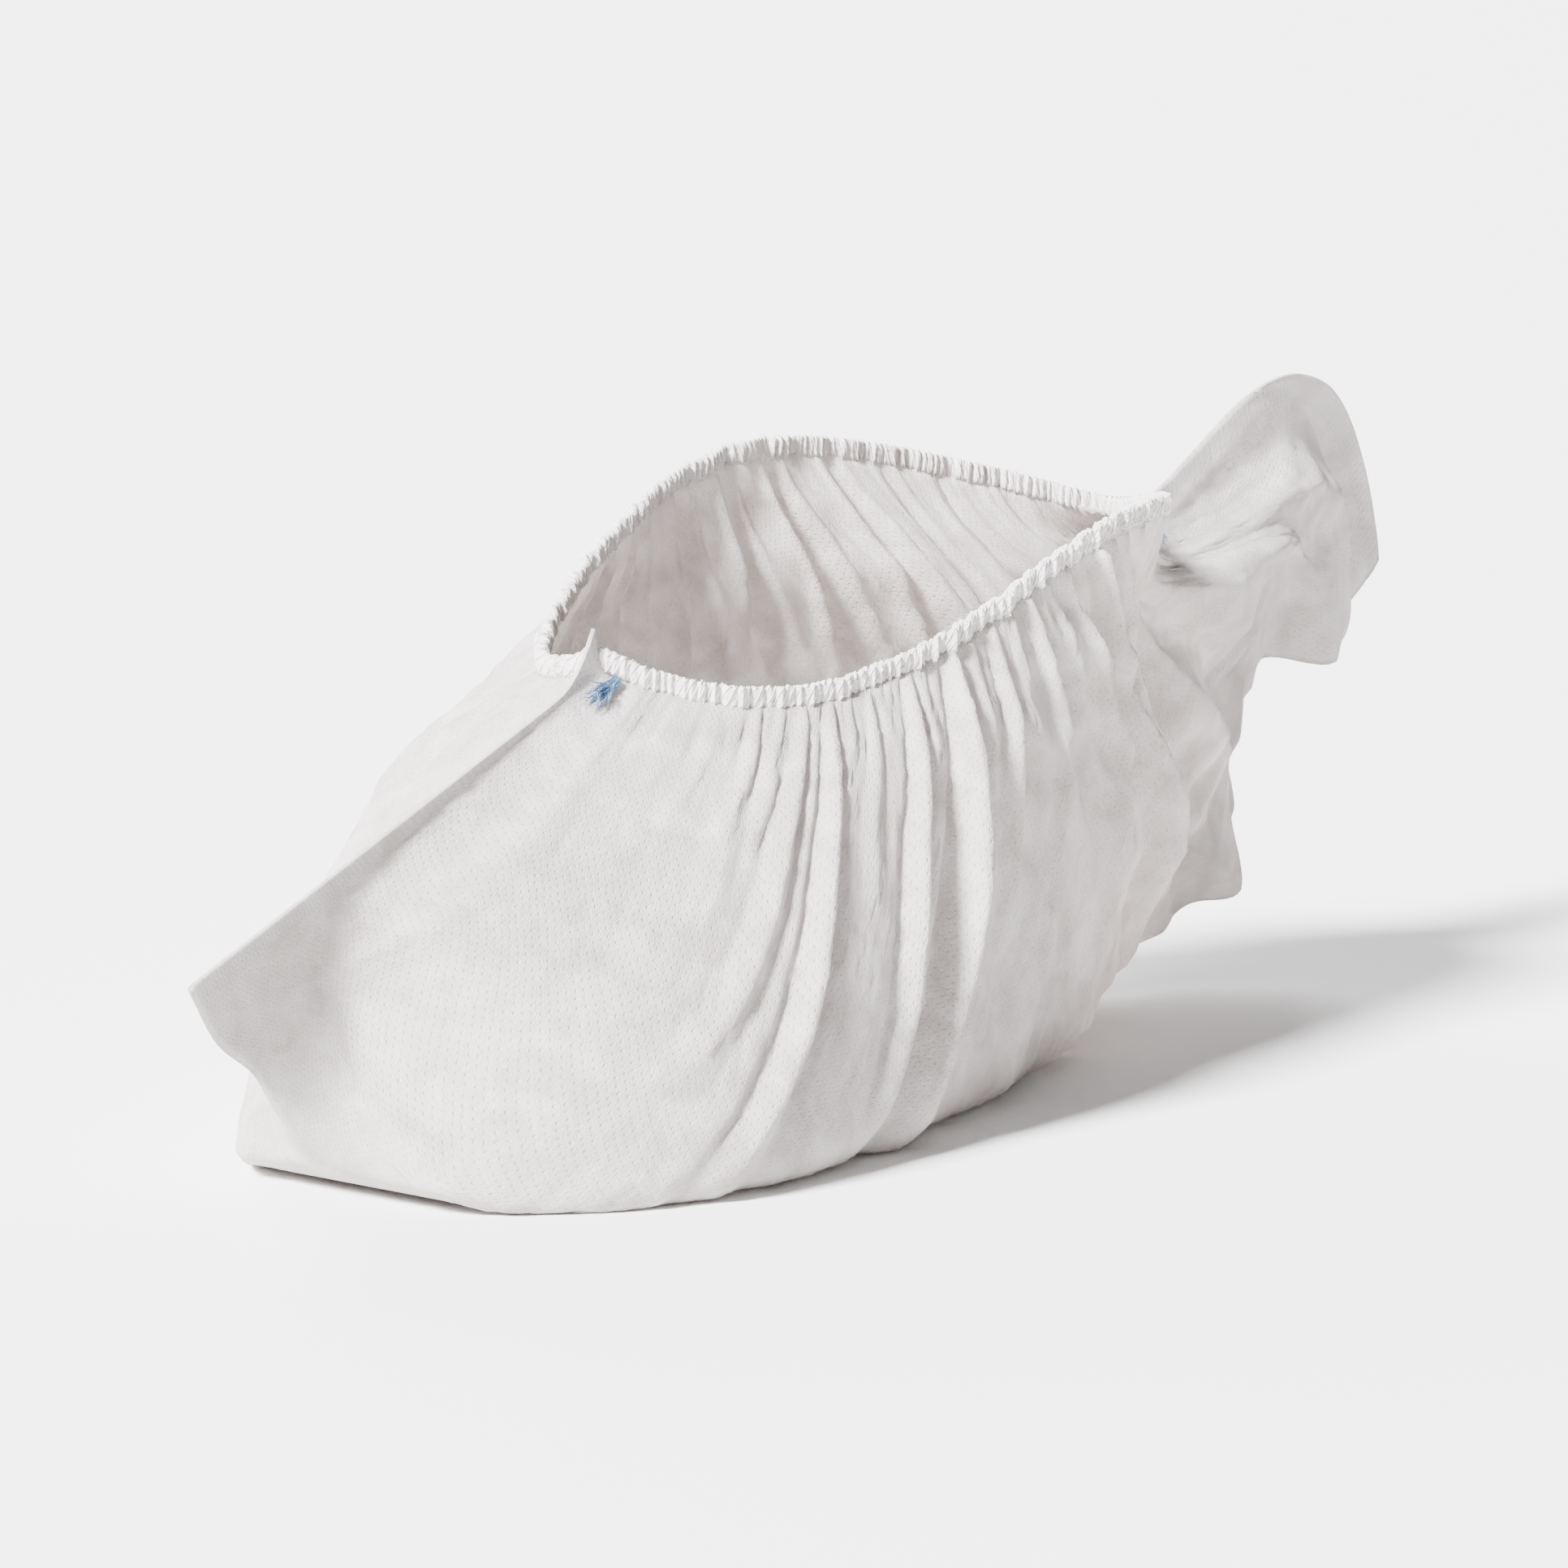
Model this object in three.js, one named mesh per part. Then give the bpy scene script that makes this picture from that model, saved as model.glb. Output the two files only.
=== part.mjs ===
// Disposable nonwoven shoe cover in its worn form, standing on its sole.
// One sheet is folded lengthwise under the sole, both ends are welded into flat seams, and an overlocked
// elastic hem gathers the opening. The toe points to -Y, the loose tail to +Y, and +Z is up. Millimetres.

import * as THREE from 'three';

// Sole and toe
const soleLength = 212;
const soleWidth = 108;
const toeReach = 47;
const beakHeight = 39;
const sidewaysTurn = 10;

// Opening
const openingSetback = 66;
const openingLength = 177;
const openingWidth = 74;
const instepHeight = 81;
const collarHeight = 101;
const heelHeight = 96;
const farRimSpread = 9;
const farRimLift = 9;

// Tail behind the heel
const tailReach = 135;
const tailHeight = 80;
const tailCrest = 38;

// Sheet, seams and folds
const wall = 1.3;
const seamWidth = 5;
const seamPlyGap = 0.3;
const foldDepth = 6;
const pleatDepth = 1.3;

// Gathered hem and its elastic
const hemHeight = 4.6;
const hemThickness = 2;
const seatGap = 0.6;
const gatherPitch = 7;
const gatherDepth = 0.8;
const elasticDiameter = 1.8;
const elasticEndLength = 15;
const hangingGap = 1.5;

// How finely the surfaces are divided
const sectionCount = 72;
const sideSteps = 14;
const hemStepsPerGather = 4;
const pleatsPerSide = 15;

// Route of the fold under the foot, from the welded toe corner to the welded tail corner.
// Runs are shares of toeReach, soleLength and tailReach, lifts are shares of beakHeight and tailHeight.
const foldRoute = [
  { toe: -1.0, sole: 0, tail: 0, beak: 1.0, corner: 0 },
  { toe: -0.83, sole: 0, tail: 0, beak: 0.74, corner: 0 },
  { toe: -0.64, sole: 0, tail: 0, beak: 0.58, corner: 0 },
  { toe: -0.54, sole: 0, tail: 0, beak: 0.42, corner: 0 },
  { toe: -0.42, sole: 0, tail: 0, beak: 0.24, corner: 0 },
  { toe: -0.22, sole: 0, tail: 0, beak: 0.07, corner: 0 },
  { toe: 0, sole: 0, tail: 0, beak: 0, corner: 0 },
  { toe: 0, sole: 0.25, tail: 0, beak: 0, corner: 0 },
  { toe: 0, sole: 0.5, tail: 0, beak: 0, corner: 0 },
  { toe: 0, sole: 0.75, tail: 0, beak: 0, corner: 0 },
  { toe: 0, sole: 1, tail: 0, beak: 0, corner: 0 },
  { toe: 0, sole: 1, tail: 0.22, beak: 0, corner: 0.06 },
  { toe: 0, sole: 1, tail: 0.44, beak: 0, corner: 0.13 },
  { toe: 0, sole: 1, tail: 0.57, beak: 0, corner: 0.22 },
  { toe: 0, sole: 1, tail: 0.61, beak: 0, corner: 0.375 },
  { toe: 0, sole: 1, tail: 0.595, beak: 0, corner: 0.54 },
  { toe: 0, sole: 1, tail: 0.6, beak: 0, corner: 0.68 },
  { toe: 0, sole: 1, tail: 0.69, beak: 0, corner: 0.765 },
  { toe: 0, sole: 1, tail: 0.9, beak: 0, corner: 0.82 },
  { toe: 0, sole: 1, tail: 1, beak: 0, corner: 1 },
];

// Rim of the opening on the near side, from the instep to the heel. The far side is a little wider and higher.
// run is a share of openingLength, side of half of openingWidth, the rest are shares of the three heights.
const rimRoute = [
  { run: 0, side: 0, instep: 1, collar: 0, heel: 0 },
  { run: 0.023, side: 0.22, instep: 0.96, collar: 0, heel: 0 },
  { run: 0.068, side: 0.49, instep: 0.93, collar: 0, heel: 0 },
  { run: 0.153, side: 0.73, instep: 0.925, collar: 0, heel: 0 },
  { run: 0.266, side: 0.89, instep: 0.7, collar: 0.22, heel: 0 },
  { run: 0.39, side: 0.97, instep: 0.45, collar: 0.49, heel: 0 },
  { run: 0.52, side: 1, instep: 0.15, collar: 0.81, heel: 0 },
  { run: 0.644, side: 0.97, instep: 0, collar: 0.985, heel: 0 },
  { run: 0.763, side: 0.865, instep: 0, collar: 1, heel: 0 },
  { run: 0.87, side: 0.68, instep: 0, collar: 0.6, heel: 0.415 },
  { run: 0.955, side: 0.38, instep: 0, collar: 0.3, heel: 0.71 },
  { run: 1, side: 0, instep: 0, collar: 0, heel: 1 },
];

// Sections across the cover. along is the share of the fold's length. sole, bulge, shoulder and puff are
// shares of half of soleWidth, and the far panel has puff as its shoulder. bulgeAt is a share of the height.
const sections = [
  { along: 0, sole: 0.02, bulge: 0.02, bulgeAt: 0.4, shoulder: 0.02, puff: 0.02 },
  { along: 0.03, sole: 0.03, bulge: 0.17, bulgeAt: 0.42, shoulder: 0.14, puff: 0.15 },
  { along: 0.06, sole: 0.1, bulge: 0.34, bulgeAt: 0.4, shoulder: 0.27, puff: 0.32 },
  { along: 0.09, sole: 0.28, bulge: 0.5, bulgeAt: 0.37, shoulder: 0.4, puff: 0.5 },
  { along: 0.12, sole: 0.5, bulge: 0.66, bulgeAt: 0.34, shoulder: 0.51, puff: 0.66 },
  { along: 0.16, sole: 0.72, bulge: 0.8, bulgeAt: 0.31, shoulder: 0.62, puff: 0.81 },
  { along: 0.2, sole: 0.87, bulge: 0.91, bulgeAt: 0.3, shoulder: 0.7, puff: 0.9 },
  { along: 0.26, sole: 0.98, bulge: 0.99, bulgeAt: 0.3, shoulder: 0.78, puff: 0.92 },
  { along: 0.34, sole: 0.94, bulge: 0.97, bulgeAt: 0.32, shoulder: 0.83, puff: 0.94 },
  { along: 0.42, sole: 0.84, bulge: 0.91, bulgeAt: 0.35, shoulder: 0.84, puff: 0.9 },
  { along: 0.49, sole: 0.69, bulge: 0.84, bulgeAt: 0.4, shoulder: 0.8, puff: 0.84 },
  { along: 0.55, sole: 0.53, bulge: 0.75, bulgeAt: 0.42, shoulder: 0.74, puff: 0.78 },
  { along: 0.6, sole: 0.38, bulge: 0.64, bulgeAt: 0.42, shoulder: 0.66, puff: 0.7 },
  { along: 0.65, sole: 0.24, bulge: 0.51, bulgeAt: 0.4, shoulder: 0.56, puff: 0.6 },
  { along: 0.695, sole: 0.16, bulge: 0.4, bulgeAt: 0.4, shoulder: 0.45, puff: 0.46 },
  { along: 0.72, sole: 0.1, bulge: 0.22, bulgeAt: 0.4, shoulder: 0.34, puff: 0.36 },
  { along: 0.78, sole: 0.08, bulge: 0.19, bulgeAt: 0.4, shoulder: 0.26, puff: 0.28 },
  { along: 0.86, sole: 0.08, bulge: 0.2, bulgeAt: 0.4, shoulder: 0.19, puff: 0.2 },
  { along: 0.93, sole: 0.07, bulge: 0.16, bulgeAt: 0.4, shoulder: 0.12, puff: 0.12 },
  { along: 0.97, sole: 0.04, bulge: 0.08, bulgeAt: 0.4, shoulder: 0.06, puff: 0.06 },
  { along: 1, sole: 0.02, bulge: 0.02, bulgeAt: 0.4, shoulder: 0.02, puff: 0.02 },
];

// How the sections bend: lowBow and highBow are backward bends of the line from the fold to the rim, as shares
// of tailCrest, and turn is how far the fold stands to the near side, as a share of sidewaysTurn.
const bends = [
  { along: 0, lowBow: 0, highBow: 0, turn: 0 },
  { along: 0.03, lowBow: 0, highBow: 0, turn: 0 },
  { along: 0.06, lowBow: 0, highBow: 0, turn: 0.1 },
  { along: 0.09, lowBow: 0, highBow: 0, turn: 0.3 },
  { along: 0.12, lowBow: 0, highBow: 0, turn: 0.65 },
  { along: 0.16, lowBow: 0, highBow: 0, turn: 0.8 },
  { along: 0.2, lowBow: 0, highBow: 0, turn: 0.6 },
  { along: 0.26, lowBow: 0, highBow: 0, turn: 0.3 },
  { along: 0.34, lowBow: 0, highBow: 0, turn: 0.1 },
  { along: 0.42, lowBow: 0, highBow: 0, turn: 0 },
  { along: 0.49, lowBow: 0, highBow: 0, turn: 0 },
  { along: 0.55, lowBow: 0.2, highBow: 0, turn: 0 },
  { along: 0.6, lowBow: 0.3, highBow: 0, turn: 0 },
  { along: 0.65, lowBow: 0.35, highBow: -0.1, turn: 0.1 },
  { along: 0.695, lowBow: 0.3, highBow: -0.2, turn: 0.2 },
  { along: 0.72, lowBow: 0.1, highBow: -0.3, turn: 0.3 },
  { along: 0.78, lowBow: 0, highBow: -0.5, turn: 0.4 },
  { along: 0.86, lowBow: 0.95, highBow: -0.75, turn: 0.5 },
  { along: 0.93, lowBow: 1.6, highBow: -0.7, turn: 0.7 },
  { along: 0.97, lowBow: 1.85, highBow: -0.4, turn: 0.76 },
  { along: 1, lowBow: 2.05, highBow: 0.1, turn: 0.8 },
];

// Folds that fan down from the hem. hem and foot are shares of the length at the rim and at the lower end,
// reach is how far up the section a fold dies out, width its half width at the foot as a share of the
// length, and depth its height as a share of foldDepth.
const nearFolds = [
  { hem: 0.1, foot: 0.11, reach: 0.55, width: 0.035, depth: 0.5 },
  { hem: 0.19, foot: 0.2, reach: 0.45, width: 0.035, depth: 0.7 },
  { hem: 0.27, foot: 0.28, reach: 0.4, width: 0.035, depth: 0.9 },
  { hem: 0.36, foot: 0.35, reach: 0.32, width: 0.034, depth: 1.0 },
  { hem: 0.45, foot: 0.43, reach: 0.3, width: 0.04, depth: 1.0 },
  { hem: 0.55, foot: 0.52, reach: 0.35, width: 0.04, depth: 0.8 },
  { hem: 0.65, foot: 0.61, reach: 0.35, width: 0.045, depth: 0.8 },
  { hem: 0.77, foot: 0.72, reach: 0.25, width: 0.04, depth: 1.1 },
  { hem: 0.9, foot: 0.86, reach: 0.3, width: 0.05, depth: 0.6 },
];
const farFolds = [
  { hem: 0.13, foot: 0.12, reach: 0.5, width: 0.045, depth: 1.0 },
  { hem: 0.24, foot: 0.22, reach: 0.4, width: 0.045, depth: 1.1 },
  { hem: 0.35, foot: 0.34, reach: 0.38, width: 0.035, depth: 0.8 },
  { hem: 0.46, foot: 0.45, reach: 0.35, width: 0.04, depth: 0.9 },
  { hem: 0.57, foot: 0.55, reach: 0.35, width: 0.04, depth: 0.8 },
  { hem: 0.69, foot: 0.66, reach: 0.3, width: 0.045, depth: 0.9 },
  { hem: 0.82, foot: 0.79, reach: 0.3, width: 0.05, depth: 0.8 },
];

// Smooth value of one column of a table at a place along it: a cubic with the mean slope at each row.
function columnAt(rows, column, place) {
  let i = 0;
  while (i < rows.length - 2 && rows[i + 1].along < place) {
    i += 1;
  }
  const slope = (a, b) => (rows[b][column] - rows[a][column]) / (rows[b].along - rows[a].along);
  const span = rows[i + 1].along - rows[i].along;
  const t = (place - rows[i].along) / span;
  const startSlope = slope(Math.max(i - 1, 0), i + 1) * span;
  const endSlope = slope(i, Math.min(i + 2, rows.length - 1)) * span;
  const rise = rows[i + 1][column] - rows[i][column];
  const bend = startSlope + endSlope - 2 * rise;
  return rows[i][column] + t * (startSlope + t * (rise - startSlope - bend + t * bend));
}

// The two guiding curves
const seamHalf = wall + seamPlyGap / 2;

const foldCurve = new THREE.CatmullRomCurve3(
  foldRoute.map(
    (row) =>
      new THREE.Vector3(
        0,
        row.toe * toeReach + row.sole * soleLength + row.tail * tailReach,
        row.beak * beakHeight + row.corner * tailHeight,
      ),
  ),
);

const nearRim = rimRoute.map(
  (row) =>
    new THREE.Vector3(
      (row.side * openingWidth) / 2,
      openingSetback + row.run * openingLength,
      row.instep * instepHeight + row.collar * collarHeight + row.heel * heelHeight,
    ),
);
// The far rim stands off from the mirrored near rim by a swell that is zero at both seams.
const farRimFullness = 1.1;
const farRim = nearRim
  .slice(1, -1)
  .reverse()
  .map((point) => {
    const middle = Math.sin((Math.PI * (point.y - openingSetback)) / openingLength) ** farRimFullness;
    return new THREE.Vector3(-point.x - farRimSpread * middle, point.y, point.z + farRimLift * middle);
  });
const rimCurve = new THREE.CatmullRomCurve3([...nearRim, ...farRim], true);

// The rim starts at the toe seam, and the heel seam splits it into its near and its far side.
const divisionsPerPoint = 20;
rimCurve.arcLengthDivisions = divisionsPerPoint * rimCurve.points.length;
const rimLengths = rimCurve.getLengths();
const heelShare = rimLengths[divisionsPerPoint * (nearRim.length - 1)] / rimCurve.getLength();

function rimPoint(share, side) {
  const place = side > 0 ? share * heelShare : 1 - share * (1 - heelShare);
  return rimCurve.getPointAt(place);
}

// Sideways place of the middle of a section, which turns towards the near side at the toe and the tail.
function middleAt(along, high) {
  return columnAt(bends, 'turn', along) * sidewaysTurn * (1 - high);
}

// Point of a section. along runs from the toe seam to the tail seam, high from the fold under the foot to the
// rim, wide is the distance from the section's middle, and side is 1 on the near panel and -1 on the far one.
function pointAt(along, wide, high, side) {
  const foot = foldCurve.getPointAt(along);
  const rim = rimPoint(along, side);
  const rise = new THREE.Vector3(0, rim.y - foot.y, rim.z - foot.z);
  const back = new THREE.Vector3(0, rise.z, -rise.y).normalize();
  const lowBow = columnAt(bends, 'lowBow', along);
  const highBow = columnAt(bends, 'highBow', along);
  const lean = THREE.MathUtils.lerp(lowBow, highBow, high);
  const bow = 3 * high * (1 - high) * lean * tailCrest;
  const point = foot.clone().addScaledVector(rise, high).addScaledVector(back, bow);
  point.x = side * wide + middleAt(along, high);
  point.z = Math.max(point.z, 0);
  return point;
}

// Outline of a section without folds: half width and share of the height at a share of the way up. A sole
// narrower than flatHalfWidth rises from its middle, so the welded ends are blades with no floor.
const flatHalfWidth = 22;
const soleShare = 0.6;
const cornerLift = 0.03;
const shoulderAt = 0.75;
const narrowFoot = 0.14;
const narrowCorner = 0.24;

function outlineAt(along, up, side) {
  const half = (column) => Math.max((columnAt(sections, column, along) * soleWidth) / 2, seamHalf);
  const flat = Math.min(half('sole') / flatHalfWidth, 1);
  const rows = [
    { along: 0, wide: 0, high: 0 },
    { along: 0.2, wide: half('sole') * soleShare, high: narrowFoot * (1 - flat) },
    { along: 0.34, wide: half('sole'), high: THREE.MathUtils.lerp(narrowCorner, cornerLift, flat) },
    { along: 0.55, wide: half('bulge'), high: columnAt(sections, 'bulgeAt', along) },
    { along: 0.79, wide: half(side > 0 ? 'shoulder' : 'puff'), high: shoulderAt },
    { along: 1, wide: Math.max(Math.abs(rimPoint(along, side).x), seamHalf), high: 1 },
  ];
  return {
    wide: columnAt(rows, 'wide', up),
    high: THREE.MathUtils.clamp(columnAt(rows, 'high', up), 0, 1),
  };
}

// Height of the folds and pleats over the smooth form. Each fold is a raised cosine across its width, and
// every one dies out at the welded ends and at the sole.
const foldWidthAtHem = 0.5;
const foldSwell = 0.6;
const pleatReach = 0.3;
const flatNearSeam = 0.06;

function foldHeight(along, up, side) {
  const folds = side > 0 ? nearFolds : farFolds;
  let height = 0;
  for (const fold of folds) {
    const down = (1 - up) / (1 - fold.reach);
    if (down < 1) {
      const centre = THREE.MathUtils.lerp(fold.hem, fold.foot, down);
      const width = fold.width * THREE.MathUtils.lerp(foldWidthAtHem, 1, down);
      const offset = Math.min(Math.abs(along - centre) / width, 1);
      const envelope = Math.sin(Math.PI * down ** foldSwell);
      height += (fold.depth * foldDepth * envelope * (1 + Math.cos(Math.PI * offset))) / 2;
    }
  }
  const pleatFade = Math.max(0, 1 - (1 - up) / pleatReach);
  const pleat = Math.cos(2 * Math.PI * pleatsPerSide * along);
  const seamFade = Math.min(1, Math.min(along, 1 - along) / flatNearSeam);
  return (height + pleatDepth * pleatFade * pleat) * seamFade;
}

// Point of the folded skin, moved inward by an inset. Every move stays on its own section, square to the
// section's outline, and the rim keeps its height.
function skinPoint(along, up, side, inset) {
  const place = outlineAt(along, up, side);
  const step = 0.01;
  const lower = outlineAt(along, Math.max(up - step, 0), side);
  const upper = outlineAt(along, Math.min(up + step, 1), side);
  const low = Math.max(place.high - step, 0);
  const high = Math.min(place.high + step, 1);
  const stretch = pointAt(along, 0, low, side).distanceTo(pointAt(along, 0, high, side)) / (high - low);
  const outward = new THREE.Vector2((upper.high - lower.high) * stretch, lower.wide - upper.wide).normalize();
  if (up === 0) {
    outward.set(0, -1);
  }
  if (up === 1 && outward.y < 0) {
    outward.set(1, 0);
  }
  const fold = up === 0 ? 0 : foldHeight(along, up, side);
  const leastHalf = inset > 0 ? seamPlyGap / 2 : seamHalf;
  const wide = up === 0 ? 0 : Math.max(place.wide + outward.x * (fold - inset), leastHalf);
  const moved = place.high + (outward.y * (fold * (1 - up ** 4) - inset)) / stretch;
  return pointAt(along, wide, Math.max(moved, 0), side);
}

// Closed mesh from a list of points and a list of faces with three or four corners.
function meshFrom(points, faces) {
  const geometry = new THREE.BufferGeometry();
  const triangles = faces.flatMap((face) =>
    face.length === 3 ? face : [face[0], face[1], face[2], face[0], face[2], face[3]],
  );
  geometry.setAttribute(
    'position',
    new THREE.Float32BufferAttribute(points.flatMap((point) => point.toArray()), 3),
  );
  geometry.setIndex(triangles);
  geometry.computeVertexNormals();
  return geometry;
}

// The bag: an outer and an inner skin over the same sections, joined at the rim. The first and last
// sections have no inner skin, so the sheet's two plies are fused there into the toe and tail seams.
function bagGeometry() {
  const seamShare = seamWidth / foldCurve.getLength();
  const alongAt = (i) => {
    if (i === 0 || i === sectionCount) {
      return i / sectionCount;
    }
    return THREE.MathUtils.mapLinear(i, 1, sectionCount - 1, seamShare, 1 - seamShare);
  };
  const across = 2 * sideSteps + 1;
  const skinPoints = (first, last, inset) => {
    const points = [];
    for (let i = first; i <= last; i += 1) {
      for (let j = -sideSteps; j <= sideSteps; j += 1) {
        points.push(skinPoint(alongAt(i), Math.abs(j) / sideSteps, j < 0 ? -1 : 1, inset));
      }
    }
    return points;
  };
  const outer = skinPoints(0, sectionCount, 0);
  const inner = skinPoints(1, sectionCount - 1, wall);
  const outerIndex = (i, j) => i * across + j + sideSteps;
  const innerIndex = (i, j) => outer.length + outerIndex(i - 1, j);
  const faces = [];
  for (let i = 0; i < sectionCount; i += 1) {
    for (let j = -sideSteps; j < sideSteps; j += 1) {
      faces.push([outerIndex(i, j), outerIndex(i + 1, j), outerIndex(i + 1, j + 1), outerIndex(i, j + 1)]);
    }
  }
  for (let i = 1; i < sectionCount - 1; i += 1) {
    for (let j = -sideSteps; j < sideSteps; j += 1) {
      faces.push([innerIndex(i, j), innerIndex(i, j + 1), innerIndex(i + 1, j + 1), innerIndex(i + 1, j)]);
    }
  }
  for (let k = 1; k <= sideSteps; k += 1) {
    const ends = [
      { index: outerIndex, at: 0, flip: false },
      { index: outerIndex, at: sectionCount, flip: true },
      { index: innerIndex, at: 1, flip: true },
      { index: innerIndex, at: sectionCount - 1, flip: false },
    ];
    for (const { index, at, flip } of ends) {
      const face = [index(at, k - 1), index(at, k), index(at, -k)];
      if (k > 1) {
        face.push(index(at, 1 - k));
      }
      faces.push(flip ? face.reverse() : face);
    }
  }
  const top = sideSteps;
  const last = sectionCount;
  for (let i = 1; i < last - 1; i += 1) {
    faces.push([outerIndex(i, top), outerIndex(i + 1, top), innerIndex(i + 1, top), innerIndex(i, top)]);
    faces.push([outerIndex(i, -top), innerIndex(i, -top), innerIndex(i + 1, -top), outerIndex(i + 1, -top)]);
  }
  const toeSeam = [outerIndex(0, top), outerIndex(0, -top)];
  const toeRim = [outerIndex(1, top), innerIndex(1, top), innerIndex(1, -top), outerIndex(1, -top)];
  const tailSeam = [outerIndex(last, top), outerIndex(last, -top)];
  const tailRim = [
    outerIndex(last - 1, top),
    innerIndex(last - 1, top),
    innerIndex(last - 1, -top),
    outerIndex(last - 1, -top),
  ];
  faces.push([toeSeam[0], toeRim[0], toeRim[1]]);
  faces.push([toeSeam[1], toeRim[2], toeRim[3]]);
  faces.push([toeSeam[0], toeRim[1], toeRim[2], toeSeam[1]]);
  faces.push([tailRim[0], tailSeam[0], tailRim[1]]);
  faces.push([tailRim[3], tailRim[2], tailSeam[1]]);
  faces.push([tailRim[1], tailSeam[0], tailSeam[1], tailRim[2]]);
  return meshFrom([...outer, ...inner], faces);
}

// The rim at a place round the opening, and the level direction that points away from the opening there.
function hemFrame(place) {
  const centre = rimCurve.getPointAt(place);
  const tangent = rimCurve.getTangentAt(place);
  return { centre, out: new THREE.Vector3(tangent.y, -tangent.x, 0).normalize() };
}

// The hem: a band with bevelled edges round the whole opening, waved by its gathers, a seat gap over the rim.
const hemBevel = 0.25;
const upright = new THREE.Vector3(0, 0, 1);

function hemGeometry() {
  const gathers = Math.round(rimCurve.getLength() / gatherPitch);
  const steps = gathers * hemStepsPerGather;
  const rows = [
    { out: 0.5 - hemBevel, up: 0 },
    { out: 0.5, up: hemBevel },
    { out: 0.5, up: 1 - hemBevel },
    { out: 0, up: 1 },
    { out: -0.5, up: 1 - hemBevel },
    { out: -0.5, up: hemBevel },
  ];
  const points = [];
  const faces = [];
  for (let i = 0; i < steps; i += 1) {
    const { centre, out } = hemFrame(i / steps);
    const wave = gatherDepth * Math.cos((2 * Math.PI * i) / hemStepsPerGather);
    for (const row of rows) {
      points.push(
        centre
          .clone()
          .addScaledVector(out, row.out * hemThickness - wall / 2 + wave)
          .addScaledVector(upright, seatGap + row.up * hemHeight),
      );
    }
    const next = (i + 1) % steps;
    for (let k = 0; k < rows.length; k += 1) {
      const over = (k + 1) % rows.length;
      faces.push([
        i * rows.length + k,
        next * rows.length + k,
        next * rows.length + over,
        i * rows.length + over,
      ]);
    }
  }
  return meshFrom(points, faces);
}

// A free end of the elastic: a short round thread that hangs from the hem against the outside of the bag.
function elasticEndGeometry(route) {
  const section = new THREE.Shape();
  section.absarc(0, 0, elasticDiameter / 2, 0, 2 * Math.PI);
  return new THREE.ExtrudeGeometry(section, {
    extrudePath: new THREE.CatmullRomCurve3(route),
    steps: 8,
    curveSegments: 4,
    bevelEnabled: false,
  });
}

const nonwoven = new THREE.MeshStandardMaterial({ name: 'nonwoven', color: 0xe9e8e7, roughness: 0.85 });
const overlock = new THREE.MeshStandardMaterial({ name: 'overlock', color: 0xdfdcda, roughness: 0.8 });
const elastic = new THREE.MeshStandardMaterial({ name: 'elastic', color: 0x7f93ad, roughness: 0.6 });

function part(name, geometry, material) {
  const mesh = new THREE.Mesh(geometry, material);
  mesh.name = name;
  return mesh;
}

// A route down the outside of the near panel from a place on the rim, clear of the folds.
function hangingRoute(along) {
  const drops = [0, 0.35, 0.7, 1];
  const height = rimPoint(along, 1).distanceTo(foldCurve.getPointAt(along));
  return drops.map((share) => {
    const up = 1 - (elasticDiameter + 2 * seatGap + share * elasticEndLength) / height;
    return skinPoint(along, up, 1, -(elasticDiameter / 2 + hangingGap));
  });
}

const cover = new THREE.Group();
cover.add(part('nonwoven_bag', bagGeometry(), nonwoven));
cover.add(part('gathered_hem', hemGeometry(), overlock));
cover.add(part('toe_elastic_end', elasticEndGeometry(hangingRoute(0.03)), elastic));
cover.add(part('heel_elastic_end', elasticEndGeometry(hangingRoute(0.95)), elastic));

// The origin is the middle of the cover's footprint, on the floor.
const box = new THREE.Box3().setFromObject(cover);
cover.position.set(-(box.min.x + box.max.x) / 2, -(box.min.y + box.max.y) / 2, -box.min.z);

export default cover;
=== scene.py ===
import math

import bmesh
import bpy
import numpy as np
from mathutils import Matrix, Vector


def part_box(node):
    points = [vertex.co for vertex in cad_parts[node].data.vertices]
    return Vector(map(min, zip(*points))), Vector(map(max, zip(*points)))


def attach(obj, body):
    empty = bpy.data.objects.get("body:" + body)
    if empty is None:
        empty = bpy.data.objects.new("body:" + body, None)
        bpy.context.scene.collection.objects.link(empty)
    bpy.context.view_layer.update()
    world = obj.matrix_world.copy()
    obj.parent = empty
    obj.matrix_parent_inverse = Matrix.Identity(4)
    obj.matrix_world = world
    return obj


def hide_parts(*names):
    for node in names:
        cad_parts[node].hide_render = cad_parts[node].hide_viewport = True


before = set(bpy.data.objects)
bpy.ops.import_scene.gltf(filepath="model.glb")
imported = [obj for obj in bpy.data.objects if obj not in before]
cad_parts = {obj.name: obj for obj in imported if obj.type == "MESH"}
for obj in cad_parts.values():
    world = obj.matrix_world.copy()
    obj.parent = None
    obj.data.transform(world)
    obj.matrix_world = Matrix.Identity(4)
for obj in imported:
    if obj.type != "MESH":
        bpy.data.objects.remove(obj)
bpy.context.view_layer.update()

# The bag
# One rectangle of white spunbond nonwoven, folded lengthwise under the foot. Its two ends are welded into
# flat seams at the toe and behind the heel, and its open edges are gathered up to the elastic. Lengths are
# in millimetres from the toe end of the sole, with the run towards the tail and heights from the floor.
MM = 0.001
TOE_REACH, MIDDLE_OFFSET = 47, -1.2
ORIGIN = np.array([MIDDLE_OFFSET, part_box("nonwoven_bag")[0][1] / MM + TOE_REACH, 0])
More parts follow.
